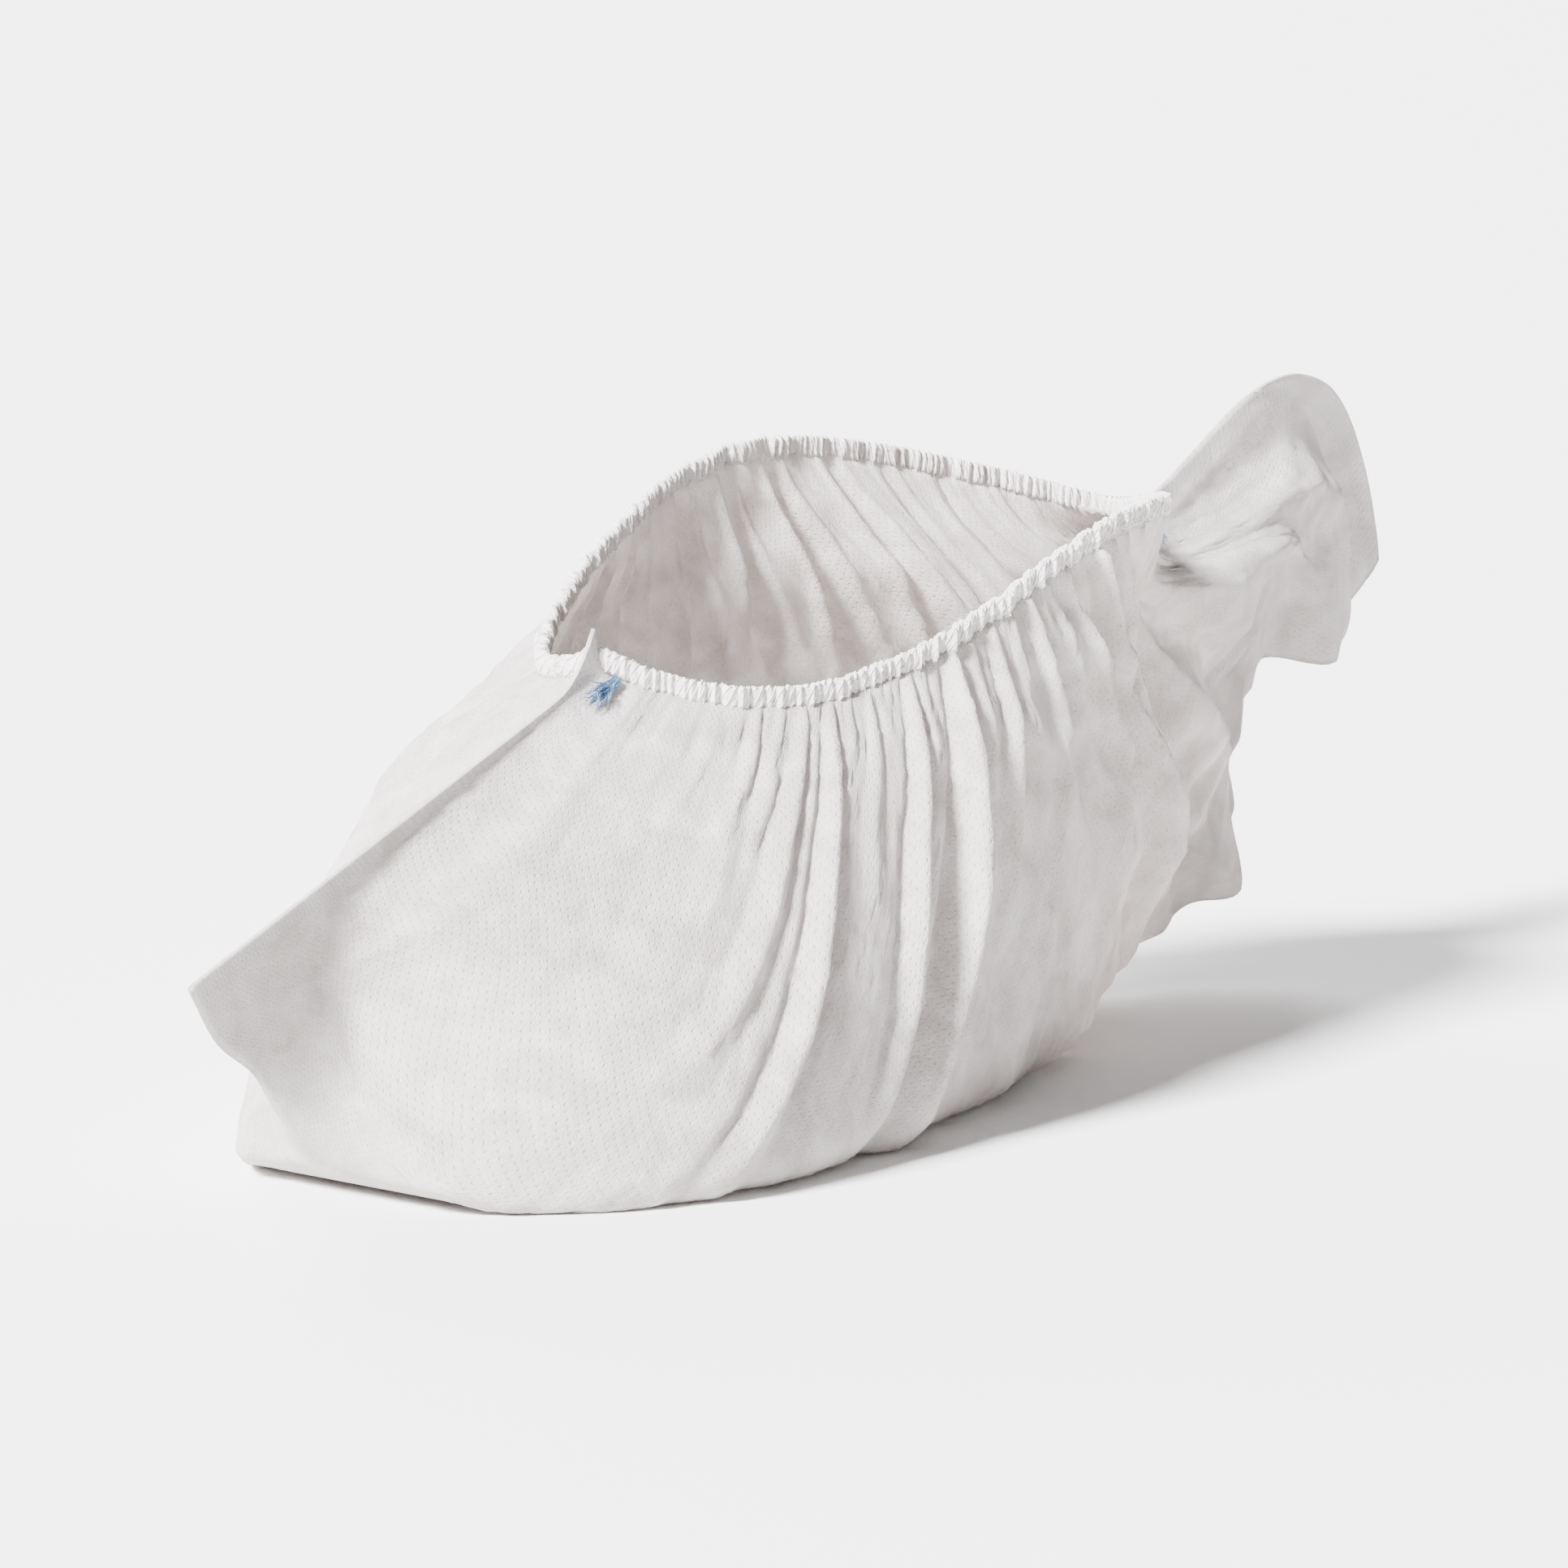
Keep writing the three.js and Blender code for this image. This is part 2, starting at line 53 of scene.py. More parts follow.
# The flat sheet in metres, measured on this cloth: its fold is 470 mm long and its median section 270 mm.
SHEET_WIDTH, SHEET_LENGTH = 0.27, 0.47
SHEET_THICKNESS = 0.0004
STATIONS, CLIMB = 401, 61
SOLE_WIDTH, TAIL_CREST, TURN = 108, 38, 10
WELD_HALF, WELD_BAND = 0.2, 0.011
TIP_HEIGHT, TIP_SPAN, FULL_SPACING = 7, 0.012, 0.75

# The fold under the foot from the toe corner to the tail corner: run, height.
FOLD_ROUTE = np.array([
    (-47, 39), (-39, 28.9), (-30, 22.6), (-25.4, 16.4), (-19.7, 9.4), (-10.3, 2.7), (0, 0), (53, 0),
    (106, 0), (159, 0), (212, 0), (241.7, 4.8), (271.4, 10.4), (289, 17.6), (294.4, 30), (292.3, 43),
    (293, 54.4), (305, 61), (333.5, 65.6), (347, 80),
], float)

# The rim of the opening on the near side, from the toe seam to the heel seam: side, run, height.
RIM_ROUTE = np.array([
    (0, 66, 81), (8.1, 70, 77.8), (18.1, 78, 75.3), (27, 93, 75), (33, 113, 79), (36, 135, 86),
    (37, 158, 94), (36, 180, 99.5), (32, 201, 101), (25, 220, 100.4), (14, 235, 98.5), (0, 243, 96),
], float)
FAR_RIM_SPREAD, FAR_RIM_LIFT, FAR_RIM_POWER = 9, 9, 1.1
ROUTE_SAMPLES = 30

# Sections across the bag, at shares of the fold's length. Widths are shares of half the sole's width.
SECTIONS = {
    "place": (0, .03, .06, .09, .12, .16, .2, .26, .34, .42, .49,
              .55, .6, .65, .695, .72, .78, .86, .93, .97, 1),
    "sole": (.02, .03, .1, .28, .5, .72, .87, .98, .94, .84, .69,
             .53, .38, .24, .16, .1, .08, .08, .07, .04, .02),
    "bulge": (.02, .17, .34, .5, .66, .8, .91, .99, .97, .91, .84,
              .75, .64, .51, .4, .22, .19, .2, .16, .08, .02),
    "bulge_at": (.4, .42, .4, .37, .34, .31, .3, .3, .32, .35, .4,
                 .42, .42, .4, .4, .4, .4, .4, .4, .4, .4),
    "near": (.02, .14, .27, .4, .51, .62, .7, .78, .83, .84, .8,
             .74, .66, .56, .45, .34, .26, .19, .12, .06, .02),
    "far": (.02, .15, .32, .5, .66, .81, .9, .92, .94, .9, .84,
            .78, .7, .6, .46, .36, .28, .2, .12, .06, .02),
    "low_bow": (0, 0, 0, 0, 0, 0, 0, 0, 0, 0, 0, .2, .3, .35, .3, .1, 0, .95, 1.6, 1.85, 2.05),
    "high_bow": (0, 0, 0, 0, 0, 0, 0, 0, 0, 0, 0, 0, 0, -.1, -.2, -.3, -.5, -.75, -.7, -.4, .1),
    "turn": (0, 0, .1, .3, .65, .8, .6, .3, .1, 0, 0, 0, 0, .1, .2, .3, .4, .5, .7, .76, .8),
}


def length(vectors):
    """Lengths of vectors, kept over zero."""
    return np.sqrt((vectors * vectors).sum(axis=-1)) + 1e-9


def rising(value, start, span):
    """Straight rise from nought at a start to one a span further on, level on both sides of it."""
    return np.clip((value - start) / span, 0, 1)


def from_ends(place):
    """Distance from the nearer weld, as a share of the fold's length."""
    return np.minimum(place, 1 - place)


def eased(knots, values, place):
    """Cubic through the values at the knots, with the mean slope of its neighbours at each knot."""
    knots, values = np.asarray(knots, float), np.asarray(values, float)
    steps = np.diff(knots)
    ahead = np.diff(values, axis=-1) / steps
    inner = (values[..., 2:] - values[..., :-2]) / (knots[2:] - knots[:-2])
    slopes = np.concatenate([ahead[..., :1], inner, ahead[..., -1:]], axis=-1)
    i = np.clip(np.searchsorted(knots, place, side="right") - 1, 0, len(knots) - 2)
    t = (place - knots[i]) / steps[i]
    if values.ndim == 1:
        low, high, start, end = values[i], values[i + 1], slopes[i], slopes[i + 1]
    else:
        low, high, start, end = (np.take_along_axis(a, b, -1) for a, b in
                                 ((values, i), (values, i + 1), (slopes, i), (slopes, i + 1)))
    start, end = start * steps[i], end * steps[i]
    bend = start + end - 2 * (high - low)
    return low + t * (start + t * ((high - low) - start - bend + t * bend))


def route(points, closed=False):
    """Centripetal Catmull-Rom curve through the points: a cubic on each span, whose end slopes weigh the
    neighbouring points by the square roots of their distances. Returns the samples and their lengths."""
    if closed:
        points = np.vstack([points[-1], points, points[:2]])
    else:
        points = np.vstack([2 * points[0] - points[1], points, 2 * points[-1] - points[-2]])
    a, b, c, d = points[:-3], points[1:-2], points[2:-1], points[3:]
    root = [np.linalg.norm(q - p, axis=1)[:, None] ** 0.5 for p, q in ((a, b), (b, c), (c, d))]
    start = ((b - a) / root[0] - (c - a) / (root[0] + root[1]) + (c - b) / root[1]) * root[1]
    end = ((c - b) / root[1] - (d - b) / (root[1] + root[2]) + (d - c) / root[2]) * root[1]
    t = np.linspace(0, 1, ROUTE_SAMPLES, endpoint=False)[None, :, None]
    start, end, rise, b = start[:, None], end[:, None], (c - b)[:, None], b[:, None]
    bend = start + end - 2 * rise
    samples = (b + t * (start + t * (rise - start - bend + t * bend))).reshape(-1, points.shape[1])
    samples = np.vstack([samples, points[-2]])
    lengths = np.concatenate([[0], np.cumsum(np.linalg.norm(np.diff(samples, axis=0), axis=1))])
    return samples, lengths


def along_route(curve, share):
    """Points of a sampled curve at shares of its length."""
    samples, lengths = curve
    places = np.asarray(share) * lengths[-1]
    return np.stack([np.interp(places, lengths, samples[:, k]) for k in range(samples.shape[1])], axis=-1)


fold_curve = route(FOLD_ROUTE)
rim_run = RIM_ROUTE[1:-1, 1] - RIM_ROUTE[0, 1]
middle = np.clip(np.sin(np.pi * rim_run / np.ptp(RIM_ROUTE[:, 1])), 0, 1)[:, None] ** FAR_RIM_POWER
far_rim = RIM_ROUTE[1:-1] * (-1, 1, 1) + middle * (-FAR_RIM_SPREAD, 0, FAR_RIM_LIFT)
rim_curve = route(np.vstack([RIM_ROUTE, far_rim[::-1]]), closed=True)
heel_share = rim_curve[1][ROUTE_SAMPLES * (len(RIM_ROUTE) - 1)] / rim_curve[1][-1]


def rim_point(place, side):
    """Rim point of one side: the near side runs from the toe seam to the heel seam, and the far side back."""
    return along_route(rim_curve, np.where(side > 0, place * heel_share, 1 - place * (1 - heel_share)))


def ridge(phase, sharp):
    """Row of rounded crests with narrow valleys between them: one less the sine's size to a power."""
    return 1 - np.abs(np.sin(np.pi * phase)) ** sharp


# Gathers at the rim: how many along one side, how deep in millimetres, and how far down each kind reaches.
GATHERS = (
    {"count": 128, "depth": 0.55, "reach": 0.10, "wander": 0.008, "seed": 3},
    {"count": 55, "depth": 1.0, "reach": 0.26, "wander": 0.020, "seed": 5},
    {"count": 24, "depth": 1.5, "reach": 0.45, "wander": 0.030, "seed": 8},
)

# Long folds: place at the hem and at the foot, how low they reach, half width, depth in millimetres.
NEAR_FOLDS = (
    (.075, .06, .80, .010, 0.5), (.11, .095, .72, .010, 1.0), (.142, .125, .66, .009, 2.0),
    (.164, .145, .76, .007, 1.8), (.185, .150, .50, .010, 3.6), (.212, .198, .28, .010, 4.8),
    (.233, .225, .80, .006, 1.4), (.255, .25, .66, .008, 2.2), (.276, .27, .84, .006, 1.2),
    (.301, .285, .36, .011, 4.6), (.322, .31, .78, .007, 1.6), (.356, .322, .22, .017, 6.8),
    (.388, .38, .80, .008, 1.5), (.418, .40, .54, .012, 3.0), (.448, .44, .82, .008, 1.4),
    (.478, .49, .60, .013, 2.6), (.512, .53, .80, .008, 1.5), (.545, .57, .58, .012, 2.6),
    (.60, .655, .12, .018, 7.5),
    (.635, .665, .50, .011, 2.6), (.668, .69, .40, .013, 3.4), (.715, .735, .16, .018, 5.5),
    (.765, .765, .30, .016, 3.6), (.82, .80, .22, .02, 4.2), (.875, .86, .30, .02, 3.2),
    (.93, .90, .35, .02, 2.6),
)
FAR_FOLDS = (
    (.07, .06, .55, .013, 2.0), (.12, .11, .40, .015, 4.0), (.17, .155, .30, .016, 5.0),
    (.225, .215, .45, .013, 3.6), (.28, .27, .25, .017, 5.2), (.34, .33, .42, .014, 3.6),
    (.40, .39, .28, .016, 4.8), (.46, .45, .42, .014, 3.6), (.52, .51, .22, .017, 5.0),
    (.58, .57, .40, .014, 3.6), (.64, .62, .25, .017, 4.8), (.71, .69, .20, .018, 5.0),
    (.77, .75, .35, .016, 3.6), (.83, .81, .25, .02, 4.2), (.90, .88, .35, .02, 3.0),
)

# How far a fold strays from its line, the shape of its crest, and the valleys beside it.
FOLD_STRAY, CREST_POWER, CREST_NARROW = 0.005, 1.3, 1.4
VALLEY_DEPTH, VALLEY_PLACE, VALLEY_NARROW = 0.4, 1.5, 3.5

# Crumples: wavelengths in millimetres with their slope, and how strong they are at places along each side.
CRUMPLE_WAVES, CRUMPLE_SLOPE, CRUMPLE_SEED = (44, 31, 22, 15.5, 11, 7.5), 0.062, 31
SIDE_RUN, SIDE_CLIMB = 450, 125
CRUMPLED = {
    "place": (0, .10, .25, .45, .56, .64, .72, .9, 1),
    "near": (.1, .16, .22, .4, .9, 1.25, 1.0, .9, .7),
    "far": (.1, .2, .35, .4, .6, .9, 1.0, .9, .7),
}

# Waves of the loose tail, which both its plies share: waves along the fold, drift towards the hem, size.
TAIL_WAVES = ((6.5, .30, 3.4), (13.0, -.55, 2.4), (21.0, .7, 1.1))
EDGE_WAVES = ((15.0, 1.2), (27.0, 0.5))
TAIL_FROM, SEAM_FADE = 0.70, 0.05


def gather_height(place, side):
    """Height of each kind of gather at the rim: crests at wandering places with their own depths."""
    heights = []
    for kind in GATHERS:
        rng = np.random.default_rng(kind["seed"] + (0 if side > 0 else 50))
        knots = np.linspace(0, 1, kind["count"] // 2 + 2)
        wander = np.interp(place, knots, rng.normal(0, kind["wander"], len(knots)))
        depth = np.interp(place, knots, rng.uniform(0.45, 1.2, len(knots)))
        heights.append(kind["depth"] * depth * (ridge(kind["count"] * (place + wander), 0.7) - 0.4))
    return heights


def crumple(place, up, seed):
    """Crushed relief in millimetres: ridges in random directions, each bent by a slower wave of its own."""
    rng = np.random.default_rng(seed)
    run, climb = place * SIDE_RUN, up * SIDE_CLIMB
    total = np.zeros_like(place + up)
    for wave in CRUMPLE_WAVES:
        turn, other = rng.uniform(0, np.pi, 2)
        slow = np.sin((run * np.cos(other) + climb * np.sin(other)) / wave * 2.6 + rng.uniform(0, 6))
        phase = (run * np.cos(turn) + climb * np.sin(turn)) / wave + 0.45 * slow + rng.uniform(0, 1)
        patch = 0.6 + 0.6 * np.sin((run * np.sin(turn) - climb * np.cos(turn)) / wave * 1.7)
        total = total + rng.choice((-1, 1)) * wave * CRUMPLE_SLOPE * patch * (ridge(phase, 0.85) - 0.31)
    return total


def fold_height(place, up, side):
    """Height over the smooth form: long folds with a bell across and a swell along, and gathers that die out
    downwards, the finest first. Everything fades at the welds."""
    total = np.zeros_like(place + up)
    for hem, foot, low, half, depth in NEAR_FOLDS if side > 0 else FAR_FOLDS:
        down = rising(1 - up, 0, 1 - low)
        centre = hem + (foot - hem) * down ** 1.2 + FOLD_STRAY * np.sin(9 * down + 47 * hem) * down
        width = half * (0.45 + 0.75 * down)
        aside = np.abs((place - centre) / width)
        valley = VALLEY_DEPTH * np.exp(-(aside - VALLEY_PLACE) ** 2 * VALLEY_NARROW)
        bell = np.exp(-aside ** CREST_POWER * CREST_NARROW) - valley
        total = total + depth * bell * np.sin(np.pi * down ** 0.45) ** 0.8
    for kind, height in zip(GATHERS, gather_height(place, side)):
        total = total + height * np.clip(1 - (1 - up) / kind["reach"], 0, 1) ** 1.3
    strength = np.interp(place, CRUMPLED["place"], CRUMPLED["near" if side > 0 else "far"])
    strength = strength * np.clip((0.97 - up) / 0.12, 0, 1) * rising(up, 0.18, 0.15)
    total = total + strength * crumple(place, up, CRUMPLE_SEED + side)
    return total * rising(from_ends(place), 0, SEAM_FADE)


def tail_waves(place, up):
    """Sideways waves of the tail, sharp crested and growing from the hem outwards."""
    slack = rising(place, TAIL_FROM, 0.09) * rising(1 - up, 0, 0.5) ** 0.7
    total = np.zeros_like(place)
    for k, (waves, drift, size) in enumerate(TAIL_WAVES):
        phase = waves * place + drift * up + 0.37 * k
        total = total + (-1) ** k * size * (2 * ridge(phase, 1) - 0.73)
    return total * slack


# The outline of a section: its knots as shares of the way up, and how its foot narrows off the floor.
OUTLINE_KNOTS, SHOULDER_HEIGHT, SOLE_SHARE = (0, 0.2, 0.34, 0.55, 0.79, 1), 0.75, 0.6
FLAT_HALF_WIDTH, NARROW_FOOT, NARROW_CORNER, CORNER_LIFT = 22, 0.14, 0.24, 0.03


def bag_side(side, fullness):
    """Grid of points of one side. Section lines run from the fold to the rim, bent by a cubic. Each section
    is an outline of half widths and height shares, and folds stand off square to that outline."""
    place, up = np.meshgrid(np.linspace(0, 1, STATIONS), np.linspace(0, 1, CLIMB), indexing="ij")
    column = {name: eased(SECTIONS["place"], values, place[:, 0]) for name, values in SECTIONS.items()}
    foot = along_route(fold_curve, place[:, 0])
    level = np.gradient(foot, axis=0)
    level /= np.linalg.norm(level, axis=1)[:, None]
    ripple = sum(size * np.sin(2 * np.pi * waves * place[:, 0]) for waves, size in EDGE_WAVES)
    ripple *= rising(place[:, 0], TAIL_FROM, 0.06) * fullness
    foot += ripple[:, None] * np.stack([-level[:, 1], level[:, 0]], axis=1)
    rim = rim_point(place[:, 0], side)
    opened = rising(from_ends(place[:, 0]), WELD_BAND, 0.03)
    half = {name: WELD_HALF + (column[name] * SOLE_WIDTH / 2 - WELD_HALF) * opened
            for name in ("sole", "bulge", "near", "far")}
    flat = np.minimum(half["sole"] / FLAT_HALF_WIDTH, 1)
    corner = NARROW_CORNER + (CORNER_LIFT - NARROW_CORNER) * flat
    still = np.zeros(STATIONS)
    shoulder = half["near" if side > 0 else "far"]
    wide_rows = np.stack([still, half["sole"] * SOLE_SHARE, half["sole"], half["bulge"], shoulder,
                          WELD_HALF + (np.abs(rim[:, 0]) - WELD_HALF) * opened], axis=1)
    high_rows = np.stack([still, NARROW_FOOT * (1 - flat), corner, column["bulge_at"],
                          still + SHOULDER_HEIGHT, still + 1], axis=1)
    wide = eased(OUTLINE_KNOTS, wide_rows, up)
    high = np.clip(eased(OUTLINE_KNOTS, high_rows, up), 0, 1)
    rise = rim[:, 1:] - foot
    back = np.stack([rise[:, 1], -rise[:, 0]], axis=1) / np.linalg.norm(rise, axis=1)[:, None]

    def on_line(share):
        lean = (1 - share) * column["low_bow"][:, None] + share * column["high_bow"][:, None]
        bow = 3 * share * (1 - share) * lean * TAIL_CREST
        return foot[:, None] + rise[:, None] * share[..., None] + back[:, None] * bow[..., None]

    step = 0.01
    stretch = np.linalg.norm(on_line(high + step) - on_line(high - step), axis=-1) / (2 * step)
    run, climb = np.gradient(wide, axis=1), np.gradient(high, axis=1) * stretch
    size = np.hypot(run, climb) + 1e-9
    out_wide, out_high = climb / size, -run / size
    straight = on_line(high)
    onward, upward = np.gradient(straight, axis=0), np.gradient(straight, axis=1)
    spacing = np.abs(onward[..., 0] * upward[..., 1] - onward[..., 1] * upward[..., 0])
    spacing = np.hypot(spacing / (length(upward) + 0.05), np.gradient(wide, axis=0))
    room = np.clip(spacing / FULL_SPACING, 0, 1) ** 1.5
    fold = fold_height(place, up, side) * (up > 0) * fullness * room
    wide = np.maximum(wide + out_wide * fold * opened[:, None], WELD_HALF)
    wide[:, 0] = 0
    high = np.maximum(high + out_high * fold * (1 - up ** 4) / stretch, 0)
    line = on_line(high)
    across = side * wide + column["turn"][:, None] * TURN * (1 - high)
    across = across + tail_waves(place, up) * fullness * room
    points = np.stack([across, line[..., 0], np.maximum(line[..., 1], 0)], axis=-1)
    toe_tip = np.exp(-(place / TIP_SPAN) ** 2) * rising(up, 0.9, 0.1) ** 2
    points[..., 2] += TIP_HEIGHT * toe_tip
    points[..., 1] -= TIP_HEIGHT / 3 * toe_tip
    return points


def whole_bag(fullness):
    """Both sides in one grid, from the far rim under the foot to the near rim."""
    near_side, far_side = bag_side(1, fullness), bag_side(-1, fullness)
    grid = np.concatenate([far_side[:, :0:-1], near_side], axis=1)
    grid[..., 2] += SHEET_THICKNESS / MM / 2
    return grid


def cloth_edges(p):
    """Edge vectors of a grid: along it, up it and both diagonals."""
    return [p[1:] - p[:-1], p[:, 1:] - p[:, :-1], p[1:, 1:] - p[:-1, :-1], p[1:, :-1] - p[:-1, 1:]]


def second(values, axis):
    """Second difference along an axis, nought at its two ends."""
    result = np.zeros_like(values)
    inner = (slice(None),) * axis + (slice(1, -1),)
    result[inner] = np.diff(values, 2, axis=axis)
    return result


# The simulation: how strongly edges pull and bends resist, how far in, out and aside of its start a point may
# move in millimetres, how much longer than its start the cloth is, and how much of the caps the tail keeps.
EDGE_WEIGHTS = (0.34, 0.34, 0.10, 0.10)
BEND_ALONG, BEND_UP, CARRIED = 0.008, 0.008, 0.85
ROOM_IN, ROOM_OUT, DRIFT, GAP_SHARE = 2.0, 3.0, 1.6, 0.3
EXCESS_ALL, EXCESS_CRUMPLED, EXCESS_TAIL, TAIL_GIVE = 0.010, 0.045, 0.02, 0.2
CLOTH_ROUNDS, START_JITTER, JITTER_SEED = 260, 0.10, 11


def relaxed(start, form, free, excess, give, rounds):
    """Cloth simulation by positions. Each edge of the grid moves its two ends towards its rest length, which
    is the start's length and the cloth's excess there. The fourth difference of the offset from the start
    resists bending. Caps hold each point near its start, and the floor holds it up. The cloth doesn't feel
    itself, so it may still cross itself in a narrow crease."""
    low, high = slice(None, -1), slice(1, None)
    whole = slice(None)
    ends = [((low, whole), (high, whole)), ((whole, low), (whole, high)),
            ((low, low), (high, high)), ((low, high), (high, low))]
    normal = np.cross(np.gradient(form, axis=0), np.gradient(form, axis=1))
    roomy = np.clip(length(normal) / length(np.gradient(form, axis=1)) / FULL_SPACING, 0, 1) ** 2 * give
    normal /= length(normal)[..., None]
    excess = excess * roomy
    spread = [(excess[a] + excess[b]) / 2 for a, b in ends]
    rest = [length(v) * (1 + more) for v, more in zip(cloth_edges(start), spread)]
    normal *= np.sign(normal[STATIONS // 3, -CLIMB // 2, 0])
    gap = np.abs(form[..., 0] - form[:, ::-1, 0])
    room_in = np.minimum(ROOM_IN, GAP_SHARE * gap) * roomy
    now, before = start.copy(), start.copy()
    for _ in range(rounds):
        move = np.zeros_like(now)
        for vector, size, (a, b), weight in zip(cloth_edges(now), rest, ends, EDGE_WEIGHTS):
            reach = length(vector)
            push = vector * (weight * (reach - size) / reach / 2)[..., None]
            move[a] += push
            move[b] -= push
        off = now - start
        for axis, weight in ((0, BEND_ALONG), (1, BEND_UP)):
            move -= weight * second(second(off, axis), axis)
        later = now + (move + CARRIED * (now - before)) * free[..., None]
        off = later - start
        out = (off * normal).sum(axis=-1)
        level = off - out[..., None] * normal
        level *= np.minimum(1, DRIFT * roomy / length(level))[..., None]
        later = start + level + np.clip(out, -room_in, ROOM_OUT * roomy)[..., None] * normal
        later[..., 2] = np.maximum(later[..., 2], SHEET_THICKNESS / MM / 2)
        now, before = np.where(free[..., None] > 0, later, start), now
    return now


worn_form = whole_bag(0)
folded = whole_bag(1)
across = np.abs(np.linspace(-1, 1, 2 * CLIMB - 1))[None, :]
along = np.linspace(0, 1, STATIONS)[:, None]
slack_tail = rising(along, 0.60, 0.12)
crumpled = rising(along, 0.22, 0.30) * rising(across, 0.3, 0.3)
excess = EXCESS_ALL + EXCESS_CRUMPLED * crumpled * (1 - 0.6 * slack_tail) + EXCESS_TAIL * slack_tail
free = (rising(from_ends(along), WELD_BAND, 0.02)
        * rising(1 - across, 0, 0.03) * np.clip((across - 0.2) / 0.1 + slack_tail, 0, 1))
give = 1 - (1 - TAIL_GIVE) * rising(along, 0.74, 0.06) + 0 * across
rng = np.random.default_rng(JITTER_SEED)
jitter = rng.normal(0, START_JITTER, folded.shape) * (free > 0)[..., None]
bag_grid = relaxed(folded + jitter, worn_form, free, excess, give, CLOTH_ROUNDS)


def grid_mesh(name, grid, uv=None, closed=False):
    """Mesh of quads over a grid of points, with a UV map of the two parameters. Millimetres become metres."""
    rows, columns = grid.shape[:2]
    index = np.arange(rows * columns).reshape(rows, columns)
    if closed:
        index = np.vstack([index, index[:1]])
    corners = [index[:-1, :-1], index[1:, :-1], index[1:, 1:], index[:-1, 1:]]
    faces = np.stack(corners, axis=-1).reshape(-1, 4)
    mesh = bpy.data.meshes.new(name)
    mesh.vertices.add(rows * columns)
    mesh.vertices.foreach_set("co", ((grid.reshape(-1, 3) + ORIGIN) * MM).ravel())
    mesh.loops.add(faces.size)
    mesh.loops.foreach_set("vertex_index", faces.ravel())
    mesh.polygons.add(len(faces))
    mesh.polygons.foreach_set("loop_start", np.arange(0, faces.size, 4))
    mesh.polygons.foreach_set("use_smooth", np.ones(len(faces), bool))
    mesh.update()
    if uv is not None:
        layer = mesh.uv_layers.new(name="UVMap")
        layer.data.foreach_set("uv", uv.reshape(-1, 2)[faces.ravel()].ravel())
    piece = bpy.data.objects.new(name, mesh)
    bpy.context.scene.collection.objects.link(piece)
    return piece


def sewn_shut(piece):
    """Merges the points that meet where a closed surface comes round to itself, and turns faces outwards."""
    shell = bmesh.new()
    shell.from_mesh(piece.data)
    bmesh.ops.remove_doubles(shell, verts=shell.verts, dist=1e-7)
    bmesh.ops.recalc_face_normals(shell, faces=shell.faces)
    shell.to_mesh(piece.data)
    shell.free()


sheet_run = np.linspace(0, SHEET_LENGTH, STATIONS)
sheet_side = np.linspace(-SHEET_WIDTH / 2, SHEET_WIDTH / 2, 2 * CLIMB - 1)
bag_uv = np.stack(np.meshgrid(sheet_run, sheet_side, indexing="ij"), axis=-1)
bag = grid_mesh("nonwoven_sheet", bag_grid, bag_uv)
wall = bag.modifiers.new("thickness", "SOLIDIFY")
wall.thickness = SHEET_THICKNESS
wall.offset = 0


# Bond points pressed 1.9 mm apart in slanting rows, and the ticks along each weld, all in metres.
BOND_TURNS, BOND_SHARP = 2 * math.pi / 0.0019, 1.4
WELD_START, WELD_END, TICK_TURNS, TICK_DEPTH = 0.0008, 0.0045, 4200, 1.2


def math_in(tree):
    """Function that adds a math node to a tree, with two inputs that are numbers or other nodes' outputs."""
    def math_node(kind, first, second=0):
        node = tree.nodes.new("ShaderNodeMath")
        node.operation = kind
        for socket, value in zip(node.inputs, (first, second)):
            if isinstance(value, (int, float)):
                socket.default_value = value
            else:
                tree.links.new(value, socket)
        return node.outputs[0]

    return math_node


def two_tones(nodes, start, end):
    """Colour ramp between two stops, each a position and a colour."""
    tones = nodes.new("ShaderNodeValToRGB")
    for element, (position, colour) in zip(tones.color_ramp.elements, (start, end)):
        element.position, element.color = position, colour
    return tones


